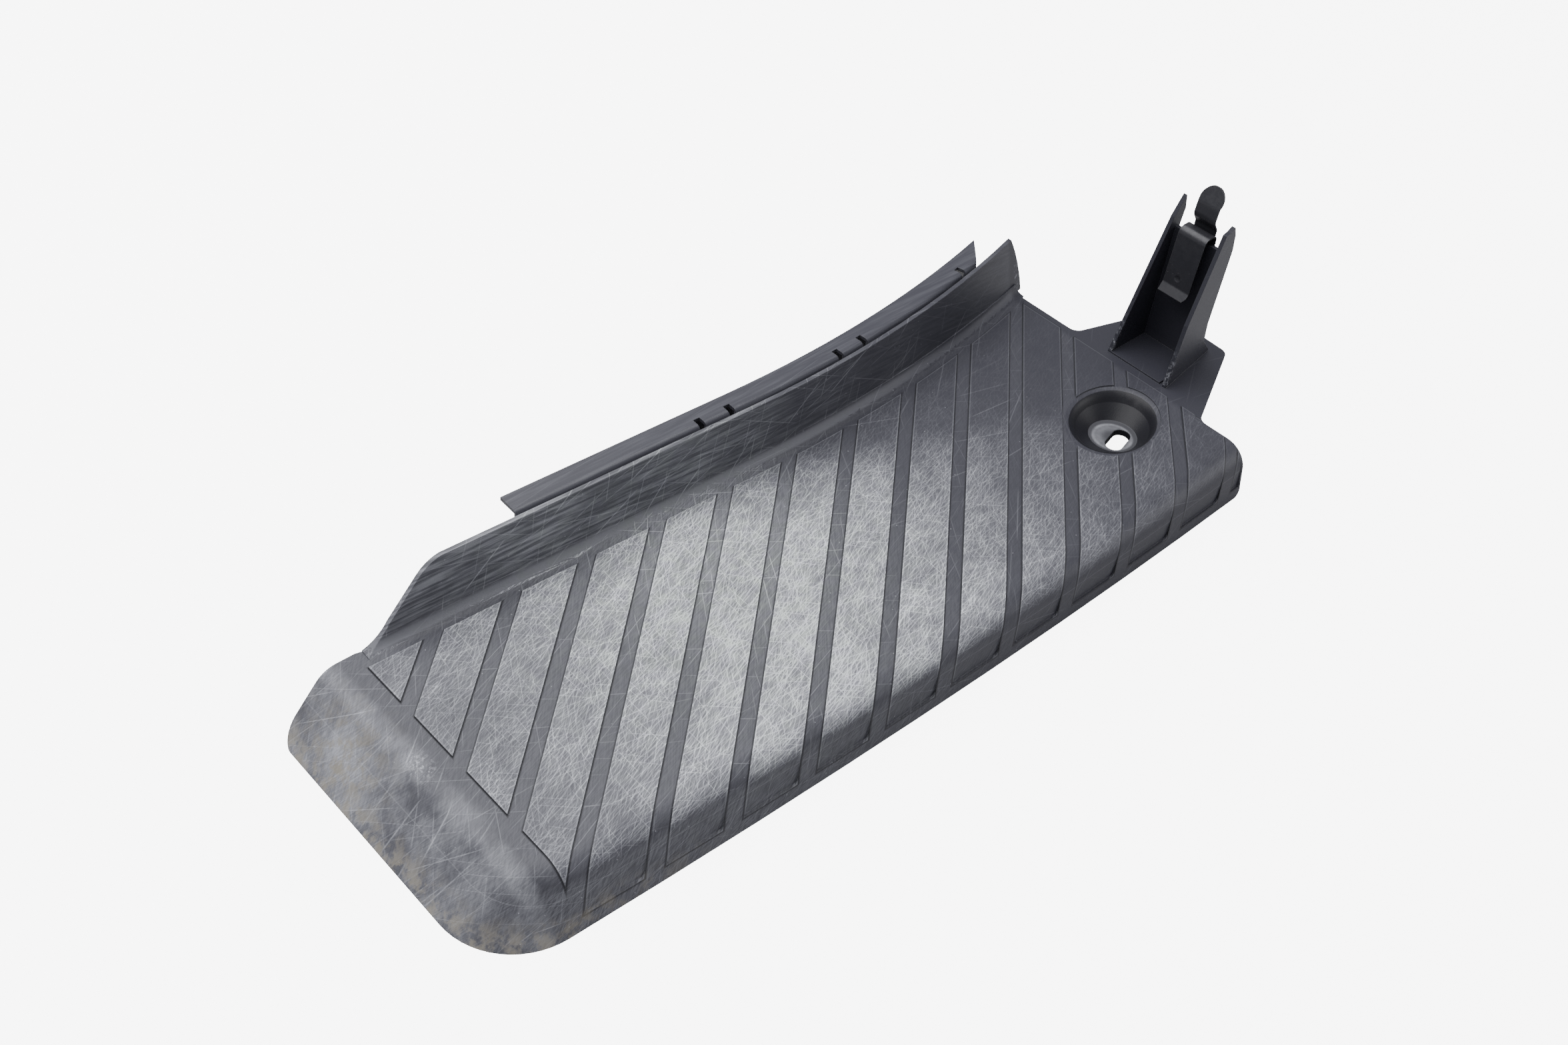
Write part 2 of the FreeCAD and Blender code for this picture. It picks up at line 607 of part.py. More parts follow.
def tower_clip_tongue():
    """Release leaf: an S-shaped tongue with a round head."""
    x = TOWER_BACK_X + TOWER_WALL + CLIP_T * 1.5 + HINGE_GAP
    path = [(x, TONGUE_FOOT_Z, 0), (x, 103, 6), (x - 5, 110, 7), (x - 4, 120, 8),
            (x + 2, TONGUE_TOP_Z, 0)]
    width = 2 * TONGUE_HEAD_R
    tongue = leaf(path, width, CLIP_Y - TONGUE_HEAD_R)
    disc = V(x - 30, CLIP_Y, TONGUE_TOP_Z - TONGUE_HEAD_R)
    head = Part.makeCylinder(TONGUE_HEAD_R, 60, disc, V(1, 0, 0))
    stem = box(x - 30, CLIP_Y - TONGUE_W / 2, 80, 60, TONGUE_W, disc.z - 80)
    return tongue.common(head.fuse(stem))


def body_clip(x, y):
    """U-shaped spring clip pushed up over a blade."""
    t = BODY_CLIP_T
    half = BLADE_T / 2
    outer = box(x - BODY_CLIP_W / 2, y - half - t, BLADE_Z - t, BODY_CLIP_W, BLADE_T + 2 * t, 16)
    inner = box(x - BODY_CLIP_W / 2, y - half, BLADE_Z, BODY_CLIP_W, BLADE_T, 20)
    clip = outer.cut(inner)
    for side in (-1, 1):
        wing = side_wing(x, y + side * (half + t), side)
        clip = clip.fuse(wing)
    return clip.removeSplitter()


def side_wing(x, y, side):
    """A sprung barb on the side of a body clip."""
    t = BODY_CLIP_T
    z = BLADE_Z
    points = [(0, z), (side * 4, z + 9), (side * 4 - side * t, z + 9), (-side * t * 0.2, z + 2)]
    corners = [V(x - 4, y + dy, dz) for dy, dz in points]
    return Part.Face(Part.makePolygon(corners + corners[:1])).extrude(V(8, 0, 0))


def rest_pad(x, y):
    dx, dy, dz = REST_PAD_SIZE
    pad = box(x - dx / 2, y - dy / 2, Z_TREAD - WALL - dz, dx, dy, dz)
    upright = [e for e in pad.Edges if e.BoundBox.ZLength > dz - 0.1]
    return pad.makeFillet(3.0, upright)


def all_pieces():
    pieces = {
        "tread_panel": tread_panel(),
        "rear_strip": rear_strip(),
        "tower_clip": tower_clip(),
        "tower_clip_tongue": tower_clip_tongue(),
    }
    for name, (x, y) in BLADE_SPOTS.items():
        pieces["body_clip_" + name] = body_clip(x, y)
    for name, (x, y) in REST_PADS.items():
        pieces["rest_pad_" + name] = rest_pad(x, y)
    return pieces


os.makedirs("parts", exist_ok=True)
pieces = all_pieces()
whole = Part.makeCompound(list(pieces.values())).optimalBoundingBox(False, False)
shift = V(-whole.Center.x, -whole.Center.y, -whole.ZMin)
print("origin moved by", shift)
for node, shape in pieces.items():
    shape.translate(shift)
    shape.exportStep("parts/" + node + ".step")
    print(node, shape.isValid(), len(shape.Solids), round(shape.Volume / 1000, 2))
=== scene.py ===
import math

import bpy
from mathutils import Matrix, Vector


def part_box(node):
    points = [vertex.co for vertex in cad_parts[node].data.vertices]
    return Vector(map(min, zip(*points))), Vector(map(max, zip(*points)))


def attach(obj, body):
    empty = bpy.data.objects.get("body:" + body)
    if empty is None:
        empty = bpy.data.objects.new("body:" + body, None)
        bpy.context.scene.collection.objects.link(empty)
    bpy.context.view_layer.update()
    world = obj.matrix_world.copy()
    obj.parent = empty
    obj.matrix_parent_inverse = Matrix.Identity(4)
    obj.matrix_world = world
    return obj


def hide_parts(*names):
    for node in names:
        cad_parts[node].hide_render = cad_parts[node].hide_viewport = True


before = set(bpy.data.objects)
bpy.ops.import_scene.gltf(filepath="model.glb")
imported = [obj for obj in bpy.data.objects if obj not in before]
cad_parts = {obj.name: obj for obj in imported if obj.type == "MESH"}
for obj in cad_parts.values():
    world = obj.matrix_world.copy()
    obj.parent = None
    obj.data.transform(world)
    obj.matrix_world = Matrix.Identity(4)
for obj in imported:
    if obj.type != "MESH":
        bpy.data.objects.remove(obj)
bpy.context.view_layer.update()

# Camera: it stands in front of the cover's left end and looks down on it, a little tilted.
# It looks at the drawing's origin, which lies on the tread near the middle of the cover, and
# from which the finishes below are measured too.
low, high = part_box("tread_panel")
DRAWN = Vector((low[0] + 0.3180, low[1] + 0.1465, low[2] + 0.0380))
DISTANCE = 1.080
ELEVATION = math.radians(42.637)
AZIMUTH = math.radians(-46.913)
ROLL = math.radians(6.568)
back = Vector((math.sin(AZIMUTH) * math.cos(ELEVATION),
               -math.cos(AZIMUTH) * math.cos(ELEVATION), math.sin(ELEVATION)))
level = Vector((math.cos(AZIMUTH), math.sin(AZIMUTH), 0))
upward = back.cross(level)
right = level * math.cos(ROLL) + upward * math.sin(ROLL)
up = upward * math.cos(ROLL) - level * math.sin(ROLL)
camera_data = bpy.data.cameras.new("camera")
camera_data.sensor_width = 36.0
camera_data.lens = 39.70
camera_data.clip_end = 50.0
camera = bpy.data.objects.new("camera", camera_data)
bpy.context.scene.collection.objects.link(camera)
turn = Matrix((right, up, back)).transposed()
camera.matrix_world = Matrix.Translation(DRAWN + back * DISTANCE) @ turn.to_4x4()
bpy.context.scene.camera = camera

# Light: a wide softbox overhead, a little to the rear, gives most of it, and a pale sky the rest.
# It leaves the upright faces darker than the tread, and a soft sheen along the rounded nose.
# A weak fill from the front right lifts the tower's outer wall and the right end of the skirt.
world = bpy.data.worlds.new("studio")
world.use_nodes = True
world.node_tree.nodes["Background"].inputs["Color"].default_value = (0.96, 0.965, 1, 1)
world.node_tree.nodes["Background"].inputs["Strength"].default_value = 0.36
bpy.context.scene.world = world
for name, size, power, place in (("softbox", 2.6, 94, (-0.2, 0.6, 2.0)),
                                 ("fill", 0.9, 9, (1.5, -1.1, 0.55))):
    lamp_data = bpy.data.lights.new(name, "AREA")
    lamp_data.size = size
    lamp_data.energy = power
    lamp = bpy.data.objects.new(name, lamp_data)
    lamp.location = place
    lamp.rotation_euler = (-Vector(place)).to_track_quat("-Z", "Y").to_euler()
    bpy.context.scene.collection.objects.link(lamp)


# Floor: one plain pale sheet of painted board under the cover.
# It looks whiter to the camera than it shines on the cover, as a well lit studio floor does.
class Paint:
    """A material under construction. Its coordinates are the drawing's millimetres."""

    def __init__(self, name):
        self.material = bpy.data.materials.new(name)
        self.material.use_nodes = True
        self.tree = self.material.node_tree
        self.shader = self.tree.nodes["Principled BSDF"]
        place = self.add("ShaderNodeTexCoord").outputs["Object"]
        moved = self.vector("SUBTRACT", place, tuple(DRAWN))
        self.place = self.vector("SCALE", moved, scale=1000.0)
        parts = self.add("ShaderNodeSeparateXYZ", {"Vector": self.place})
        self.x, self.y, self.z = parts.outputs
        along = self.sum(self.x, self.times(self.z, 0.4))
        across = self.sum(self.y, self.z)
        self.skin = self.add("ShaderNodeCombineXYZ", {"X": along, "Y": across}).outputs[0]

    def add(self, kind, inputs=None, **settings):
        node = self.tree.nodes.new(kind)
        for key, value in settings.items():
            setattr(node, key, value)
        for key, value in (inputs or {}).items():
            self.feed(node.inputs[key], value)
        return node

    def feed(self, socket, value):
        if isinstance(value, bpy.types.NodeSocket):
            self.tree.links.new(value, socket)
        else:
            socket.default_value = value

    def vector(self, operation, a, b=None, scale=None):
        node = self.add("ShaderNodeVectorMath", {0: a}, operation=operation)
        if b is not None:
            self.feed(node.inputs[1], b)
        if scale is not None:
            self.feed(node.inputs["Scale"], scale)
        return node.outputs[0]

    def do(self, operation, a, b=0.0, c=0.0, clamp=False):
        node = self.add("ShaderNodeMath", {0: a, 1: b, 2: c}, operation=operation, use_clamp=clamp)
        return node.outputs[0]

    def times(self, a, b):
        return self.do("MULTIPLY", a, b)

    def sum(self, a, b):
        return self.do("ADD", a, b)

    def inverse(self, a):
        return self.minus(1.0, a)

    def most(self, a, b):
        return self.do("MAXIMUM", a, b)

    def least(self, a, b):
        return self.do("MINIMUM", a, b)

    def minus(self, a, b):
        return self.do("SUBTRACT", a, b)

    def band(self, value, rise, fall):
        """1 between two places, with a smooth rise (from, to) and a smooth fall (from, to)."""
        return self.times(self.ramp(value, *rise), self.ramp(value, *fall))

    def ramp(self, value, start, end, low=0.0, high=1.0):
        """Goes smoothly from low to high as the value goes from start to end."""
        inputs = {"Value": value, "From Min": start, "From Max": end, "To Min": low, "To Max": high}
        return self.add("ShaderNodeMapRange", inputs, interpolation_type="SMOOTHSTEP").outputs[0]

    def hill(self, x, y, wide, deep):
        """1 at a place on the plan, and falling off around it like a bell."""
        dx = self.do("DIVIDE", self.minus(self.x, x), wide)
        dy = self.do("DIVIDE", self.minus(self.y, y), deep)
        square = self.sum(self.times(dx, dx), self.times(dy, dy))
        return self.do("POWER", math.e, self.times(square, -1.0))

    def noise(self, size, detail=3.0, rough=0.55, where=None, stretch=None, turn=0.0):
        """Noise with features of about this size in millimetres, drawn out along one direction."""
        where = self.place if where is None else where
        if stretch:
            spin = {"Vector": where, "Angle": math.radians(turn)}
            where = self.add("ShaderNodeVectorRotate", spin, rotation_type="Z_AXIS").outputs[0]
            where = self.vector("MULTIPLY", where, (1.0 / stretch, 1.0, 1.0))
        inputs = {"Vector": where, "Scale": 1.0 / size, "Detail": detail, "Roughness": rough}
        return self.add("ShaderNodeTexNoise", inputs).outputs[0]

    def scratches(self, turn, length, spacing, width, chance, seed):
        """Single straight scratches, about this way round in degrees, one to a cell at most."""
        node = self.add("ShaderNodeGroup", node_tree=scratch_group())
        values = {"Vector": self.skin, "Angle": math.radians(turn), "Length": length,
                  "Spacing": spacing, "Width": width, "Chance": chance, "Seed": seed}
        for key, value in values.items():
            self.feed(node.inputs[key], value)
        return node.outputs[0]

    def specks(self, size, radius, chance):
        """Round specks of dust, spread without order."""
        inputs = {"Vector": self.place, "Scale": 1.0 / size}
        cells = self.add("ShaderNodeTexVoronoi", inputs)
        picked = self.add("ShaderNodeSeparateColor", {"Color": cells.outputs["Color"]}).outputs[0]
        here = self.ramp(cells.outputs["Distance"], radius / size, radius / size * 0.4)
        return self.times(here, self.do("LESS_THAN", picked, chance))

    def mix(self, share, a, b):
        """A number between a, at share 0, and b, at share 1."""
        return self.add("ShaderNodeMix", {0: share, 2: a, 3: b}, data_type="FLOAT").outputs[0]

    def blend(self, share, a, b):
        """A colour between a, at share 0, and b, at share 1."""
        return self.add("ShaderNodeMix", {0: share, 6: a, 7: b}, data_type="RGBA").outputs[2]

    def rounded(self, radius):
        """The normal with edges rounded to this radius in millimetres, and 1 along such edges."""
        soft = self.add("ShaderNodeBevel", {"Radius": radius / 1000.0}, samples=4).outputs[0]
        hard = self.add("ShaderNodeNewGeometry").outputs["Normal"]
        same = self.add("ShaderNodeVectorMath", {0: soft, 1: hard}, operation="DOT_PRODUCT")
        return soft, self.ramp(same.outputs["Value"], 0.985, 0.80)

    def finish(self, colour, roughness, specular, height=None, depth=0.0, normal=None, metal=0.0):
        self.feed(self.shader.inputs["Base Color"], colour)
        self.feed(self.shader.inputs["Roughness"], roughness)
        self.feed(self.shader.inputs["Specular IOR Level"], specular)
        self.feed(self.shader.inputs["Metallic"], metal)
        if height is not None:
            inputs = {"Strength": 1.0, "Distance": depth / 1000.0, "Height": height}
            bump = self.add("ShaderNodeBump", inputs)
            if normal is not None:
                self.feed(bump.inputs["Normal"], normal)
            normal = bump.outputs[0]
        if normal is not None:
            self.feed(self.shader.inputs["Normal"], normal)
        return self.material


floor_mesh = bpy.data.meshes.new("floor")
floor_mesh.from_pydata([(-6, -6, 0), (6, -6, 0), (6, 6, 0), (-6, 6, 0)], [], [(0, 1, 2, 3)])
floor = bpy.data.objects.new("floor", floor_mesh)
bpy.context.scene.collection.objects.link(floor)
floor_paint = Paint("floor_paint")
floor_paint.finish((0.50, 0.50, 0.51, 1), 0.8, 0.1)
seen = floor_paint.add("ShaderNodeLightPath").outputs["Is Camera Ray"]
floor_paint.feed(floor_paint.shader.inputs["Emission Color"], (1, 1, 1, 1))
floor_paint.feed(floor_paint.shader.inputs["Emission Strength"], floor_paint.times(seen, 7.0))
floor_mesh.materials.append(floor_paint.material)


# Tread panel: one injection moulding of black plastic, with the tread and its raised pads, nose,
# skirt, apron, upstand, screw cup and clip tower. Soles have rubbed the pads to a pale grey, dust
# lies on the apron at its left end, and the cup is clean but for its worn seat, with painted shade
# darkening its inner side. Painted shade also lines the foot of each pad, the rear of the tread and
# the apron's front corner; a painted highlight runs along the apron's ridge, and the upstand's
# scuffs are partly painted light.
PAD_TURN = math.radians(41.585)
PAD_PITCH = 37.0
PAD_WIDTH = 27.0
PAD_OFFSET = 220.0
PADS_LEFT = -265.8
PADS_RIGHT = 302.0
PADS_FOOT = -30.0
PADS_TO_STAND = 10.0
NOSE_Y = -100.0
APRON_X = -262.0
STAND_X = 21.6
STAND_Y = 54.0
STAND_SLOPE = math.atan(0.035)
STAND_RADIUS = 1107.0
SKIRT_TOP = (-3.0, -15.0)
BLUISH_BLACK = (0.031, 0.031, 0.041, 1)
CUP_SHADE_BLACK = (0.012, 0.012, 0.016, 1)
SHADOW_BLACK = (0.010, 0.010, 0.013, 1)
PALE_RUB = (0.61, 0.62, 0.68, 1)
GREENISH_RUB = (0.58, 0.625, 0.60, 1)
EARTH = (0.27, 0.24, 0.185, 1)
RUST = (0.30, 0.12, 0.02, 1)
# fine scratches, most of them slanting the way that shoes come off the step:
# way round in degrees, length, spacing between rows, width, and share of the places taken
SHOE_SCRATCHES = [(-16, 24, 2.0, 0.36, 0.85), (-28, 32, 2.6, 0.34, 0.8), (-4, 28, 2.8, 0.34, 0.7),
                  (-42, 22, 2.6, 0.36, 0.7), (12, 36, 4.2, 0.38, 0.6), (-60, 28, 3.4, 0.36, 0.6),
                  (-88, 24, 4.4, 0.36, 0.5), (44, 28, 4.8, 0.38, 0.5), (-22, 60, 5.6, 0.46, 0.6)]


def scratch_group():
    """The node group that draws scratches: cells in rows, with a thin slanted line in some of them."""
    if "scratches" in bpy.data.node_groups:
        return bpy.data.node_groups["scratches"]
    tree = bpy.data.node_groups.new("scratches", "ShaderNodeTree")
    tree.interface.new_socket("Vector", in_out="INPUT", socket_type="NodeSocketVector")
    for name in ("Angle", "Length", "Spacing", "Width", "Chance", "Seed"):
        tree.interface.new_socket(name, in_out="INPUT", socket_type="NodeSocketFloat")
    tree.interface.new_socket("Line", in_out="OUTPUT", socket_type="NodeSocketFloat")
    start = tree.nodes.new("NodeGroupInput").outputs
    end = tree.nodes.new("NodeGroupOutput")

    def node(kind, *values, **settings):
        made = tree.nodes.new(kind)
        for key, value in settings.items():
            setattr(made, key, value)
        for number, value in enumerate(values):
            if isinstance(value, bpy.types.NodeSocket):
                tree.links.new(value, made.inputs[number])
            elif value is not None:
                made.inputs[number].default_value = value
        return made

    def do(operation, *values, clamp=False):
        return node("ShaderNodeMath", *values, operation=operation, use_clamp=clamp).outputs[0]

    spun = node("ShaderNodeVectorRotate", start["Vector"], rotation_type="Z_AXIS")
    tree.links.new(start["Angle"], spun.inputs["Angle"])
    flat = node("ShaderNodeSeparateXYZ", spun.outputs[0]).outputs
    row = do("DIVIDE", flat[1], start["Spacing"])
    row_number = do("FLOOR", row)
    row_key = node("ShaderNodeCombineXYZ", row_number, start["Seed"], 7.0).outputs[0]
    slide = node("ShaderNodeTexWhiteNoise", row_key, noise_dimensions="3D").outputs["Value"]
    run = do("ADD", do("DIVIDE", flat[0], start["Length"]), slide)
    cell_key = node("ShaderNodeCombineXYZ", do("FLOOR", run), row_number, start["Seed"]).outputs[0]
    random = node("ShaderNodeTexWhiteNoise", cell_key, noise_dimensions="3D")
    lots = node("ShaderNodeSeparateColor", random.outputs["Color"]).outputs
    in_run = do("FRACT", run)
    in_row = do("FRACT", row)
    slant = do("MULTIPLY", do("SUBTRACT", lots[1], 0.5), do("SUBTRACT", in_run, 0.5))
    middle = do("ADD", do("MULTIPLY", lots[0], 0.36), 0.32)
    line = do("ADD", middle, do("MULTIPLY", slant, 0.9))
    gap = do("MULTIPLY", do("ABSOLUTE", do("SUBTRACT", in_row, line)), start["Spacing"])
    thin = do("SUBTRACT", 1.0, do("DIVIDE", gap, start["Width"]), clamp=True)
    ends = do("MULTIPLY", do("MULTIPLY", in_run, do("SUBTRACT", 1.0, in_run)), 6.0, clamp=True)
    kept = do("LESS_THAN", lots[2], start["Chance"])
    force = do("ADD", do("MULTIPLY", random.outputs["Value"], 0.7), 0.3)
    shown = do("MULTIPLY", do("MULTIPLY", thin, ends), do("MULTIPLY", kept, force))
    tree.links.new(shown, end.inputs["Line"])
    return tree


def copy_of(name, body, paint):
    """A copy of a CAD piece's mesh in its place, to carry a finish, shown instead of the piece."""
    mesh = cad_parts[name].data.copy()
    made = bpy.data.objects.new(name + "_look", mesh)
    bpy.context.scene.collection.objects.link(made)
    mesh.materials.clear()
    mesh.materials.append(paint)
    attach(made, body)
    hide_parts(name)
    return made

def on_pad(spot, normal):
    """True for a face of a raised pad: told by its height on the tread, and by its place below."""
    if spot.y > NOSE_Y:
        return spot.z > -0.5 and normal.z > 0.9
    slanted = spot.x * math.sin(PAD_TURN) - spot.y * math.cos(PAD_TURN)
    inside = (slanted + PAD_OFFSET) % PAD_PITCH < PAD_WIDTH
    return inside and spot.x > PADS_LEFT + 0.3 and PADS_FOOT + 0.2 < spot.z < 0.5


def sole_rub(p, cloud):
    """How far soles have rubbed the pads, and the grooves between them, with painted shade keeping the pads
    darker towards the upstand at the rear and right.
    """
    # painted shade: the pads kept darker towards the upstand
    shade = p.ramp(p.sum(p.y, p.times(p.x, 0.35)), 0.0, 80.0)
    left_share = p.ramp(p.x, 330.0, -40.0, 0.03, 0.20)
    pads = p.sum(left_share, p.times(p.hill(-62.0, -62.0, 120.0, 150.0), 0.48))
    pads = p.times(pads, p.ramp(shade, 0.0, 1.0, 1.0, 0.25))
    pads = p.times(pads, p.ramp(cloud, 0.3, 0.7, 0.72, 1.28))
    grooves = p.ramp(p.x, 140.0, -170.0, 0.03, 0.10)
    return pads, p.sum(grooves, p.times(p.hill(-45.0, 8.0, 70.0, 75.0), 0.22))


def shoe_marks(p):
    """Scratches: a dense web of fine ones, a haze of finer ones, some clear ones, a few bold ones."""
    dense = p.scratches(*SHOE_SCRATCHES[0], 1.0)
    for number, look in enumerate(SHOE_SCRATCHES[1:], start=1):
        dense = p.sum(dense, p.scratches(*look, number * 3.7 + 1.0))
    dense = p.least(dense, 1.5)
    haze = p.sum(p.noise(0.9, 2.0, 0.6, p.skin, 14.0, -16), p.noise(1.1, 2.0, 0.6, p.skin, 10.0, -48))
    haze = p.ramp(haze, 0.74, 1.26)
    few = p.scratches(-20, 44, 7.0, 0.42, 0.5, 41.0)
    few = p.most(few, p.scratches(-58, 36, 8.0, 0.40, 0.5, 47.0))
    few = p.most(few, p.scratches(35, 52, 11.0, 0.42, 0.45, 53.0))
    bold = p.scratches(-33, 52, 19.0, 0.55, 0.5, 61.0)
    bold = p.most(bold, p.scratches(12, 44, 23.0, 0.55, 0.45, 67.0))
    return dense, haze, few, bold


def skirt_wear(p, haze, few):
    """The front skirt below the nose: the same pads, hardly rubbed."""
    skirt = p.times(p.ramp(p.z, *SKIRT_TOP), p.ramp(p.y, NOSE_Y + 5.0, NOSE_Y - 10.0))
    wear = p.times(p.ramp(p.x, 200.0, -250.0, 0.012, 0.12), p.sum(0.5, haze))
    return p.times(skirt, p.sum(wear, p.times(few, p.ramp(p.x, 250.0, -200.0, 0.03, 0.12))))


def apron_wear_and_painted_light(p, cloud, fine_cloud, haze, marks):
    """The apron at the left end: dust, smudges, a pale stain, a painted highlight along its ridge, painted
    shade at its front corner, and a scrape.
    """
    apron = p.ramp(p.x, APRON_X, -290.0)
    dust_and_painted_light = p.ramp(p.noise(24.0, 5.0, 0.62), 0.32, 0.68, 0.10, 0.27)
    dust_and_painted_light = p.sum(dust_and_painted_light, p.times(p.hill(-304.0, 22.0, 14.0, 26.0), 0.24))
    # painted highlight: a pale band along the apron's ridge, where the bend catches the light
    painted_ridge_highlight = p.band(p.x, (-274.0, -280.0), (-292.0, -285.0))
    dust_and_painted_light = p.sum(dust_and_painted_light, p.times(painted_ridge_highlight, p.ramp(cloud, 0.35, 0.65, 0.03, 0.12)))
    # painted shade: the apron's front corner made darker
    dust_and_painted_light = p.sum(dust_and_painted_light, p.times(p.hill(APRON_X, -130.0, 26.0, 14.0), -0.16))
    dust_and_painted_light = p.sum(dust_and_painted_light, p.times(p.ramp(p.z, -24.0, -37.0), p.ramp(fine_cloud, 0.4, 0.6, 0.0, 0.10)))
    dust_and_painted_light = p.sum(dust_and_painted_light, p.times(marks, 0.20))
    dust_and_painted_light = p.times(dust_and_painted_light, p.sum(0.75, p.times(haze, 0.5)))
    scrape = p.times(p.hill(-281.0, -22.0, 6.0, 10.0), p.ramp(p.noise(2.0, 3.0, 0.7), 0.5, 0.62))
    return p.times(apron, p.sum(dust_and_painted_light, p.times(scrape, 0.5)))


def stand_wear_and_painted_light(p, cloud, few, bold):
    """The upstand: scuffed along its length, most of all at the left, with the scuffs made stronger as
    painted light on its face.
    """
    stand = p.times(p.ramp(p.z, 2.0, 6.0), p.ramp(p.x, 322.0, 318.0))
    streak = p.noise(2.4, 3.0, 0.6, p.skin, 16.0, 2)
    # partly painted light: the scuffs are raised to lighten the upright face
    scuff_and_painted_light = p.times(p.ramp(p.x, 180.0, -200.0, 0.03, 0.21), p.ramp(streak, 0.35, 0.7, 0.35, 1.6))
    scuff_and_painted_light = p.times(scuff_and_painted_light, p.ramp(cloud, 0.35, 0.65, 0.7, 1.3))
    scuff_and_painted_light = p.sum(scuff_and_painted_light, p.times(p.most(few, bold), p.ramp(p.x, 290.0, 0.0, 0.03, 0.24)))
    return p.times(stand, p.sum(scuff_and_painted_light, 0.015))


def cove_wear(p, pad):
    """The hollow curve at the upstand's foot, where dirt gathers."""
    cove = p.band(p.z, (-0.9, 0.6), (7.0, 3.0))
    return p.times(p.times(cove, p.ramp(p.x, 300.0, -100.0, 0.06, 0.20)), p.inverse(pad))


def in_the_cup(p):
    """1 on the inner side of the screw cup."""
    cup = p.times(p.hill(252.0, -61.0, 60.0, 50.0), p.ramp(p.z, -1.3, -2.2))
    return p.times(p.ramp(cup, 0.5, 0.6), p.ramp(p.z, -40.0, -34.0))


def seat_wear(p, fine_cloud):
    """The cup's flat seat, with the ring that a washer has left on it."""
    seat = p.band(p.z, (-17.0, -16.7), (-16.2, -16.4))
    ring = p.hill(254.0, -62.0, 14.0, 14.0)
    washer = p.band(ring, (0.30, 0.40), (0.95, 0.6))
    washer = p.sum(p.times(washer, 0.10), p.times(p.times(washer, p.ramp(ring, 0.52, 0.40)), 0.10))
    return p.times(seat, p.sum(0.07, p.times(washer, p.ramp(fine_cloud, 0.3, 0.7, 0.6, 1.4))))


def tower_bruises(p):
    """Pale bruises in the plastic at the foot of the tower's walls."""
    slope = p.minus(p.x, p.sum(310.0, p.times(p.z, 0.30)))
    foot = p.times(p.times(p.ramp(slope, 4.0, 0.5), p.ramp(p.z, 34.0, 4.0)), p.ramp(p.z, 0.5, 1.5))
    foot = p.times(foot, p.ramp(p.x, 306.0, 308.0))
    return p.times(foot, p.ramp(p.noise(3.0, 4.0, 0.7), 0.48, 0.66))


def to_stand(p):
    """Distance in front of the upstand's foot, which is a straight run and then an arc."""
    straight = p.sum(p.times(p.minus(p.x, STAND_X), -math.sin(STAND_SLOPE)),
                     p.times(p.minus(p.y, STAND_Y), -math.cos(STAND_SLOPE)))
    middle = (STAND_X + STAND_RADIUS * math.sin(STAND_SLOPE),
              STAND_Y + STAND_RADIUS * math.cos(STAND_SLOPE), 0.0)
    flat = p.vector("MULTIPLY", p.place, (1.0, 1.0, 0.0))
    away = p.add("ShaderNodeVectorMath", {0: flat, 1: middle}, operation="DISTANCE")
    curved = p.minus(away.outputs["Value"], STAND_RADIUS)
    return p.mix(p.do("GREATER_THAN", p.x, STAND_X), straight, curved)


def pad_outline(p):
    """Thin lines along the pads' edges: one of painted shade just outside each edge, at the foot of the
    pad's side, and one just inside it.
    """
    slanted = p.sum(p.times(p.x, math.sin(PAD_TURN)), p.times(p.y, -math.cos(PAD_TURN)))
    step = p.do("FLOORED_MODULO", p.sum(slanted, PAD_OFFSET), PAD_PITCH)
    ends = p.least(p.minus(p.x, PADS_LEFT), p.minus(to_stand(p), PADS_TO_STAND))
    ends = p.least(ends, p.minus(PADS_RIGHT, p.x))
    ends = p.least(ends, p.minus(p.z, PADS_FOOT))
    half = PAD_WIDTH / 2
    in_pad = p.least(p.minus(half, p.do("ABSOLUTE", p.minus(step, half))), ends)
    gap = p.most(p.minus(PAD_WIDTH, step), p.minus(step, PAD_PITCH))
    edge = p.mix(p.do("GREATER_THAN", step, PAD_WIDTH), in_pad, p.least(gap, ends))
    # painted shade: a dark line in the groove along the foot of each raised pad
    painted_shade_line = p.band(edge, (-1.3, -0.5), (0.15, -0.15))
    within = p.band(edge, (-0.1, 0.3), (1.1, 0.5))
    on_tread = p.times(p.ramp(p.z, 1.5, 1.0), p.ramp(p.z, -36.0, -34.0))
    on_tread = p.times(on_tread, p.ramp(p.x, PADS_RIGHT + 1.0, PADS_RIGHT))
    on_tread = p.times(on_tread, p.ramp(p.hill(250.5, -60.8, 60.0, 46.0), 0.62, 0.56))
    return p.times(painted_shade_line, on_tread), p.times(within, on_tread)


def rust_spot(p):
    """A speck of rust on the tower's back wall, below the clip."""
    wall = p.band(p.x, (346.0, 347.5), (349.0, 348.4))
    dz = p.do("ABSOLUTE", p.minus(p.z, 42.0))
    dy = p.do("ABSOLUTE", p.minus(p.y, -28.0))
    return p.times(wall, p.ramp(p.sum(dz, dy), 2.2, 1.2))


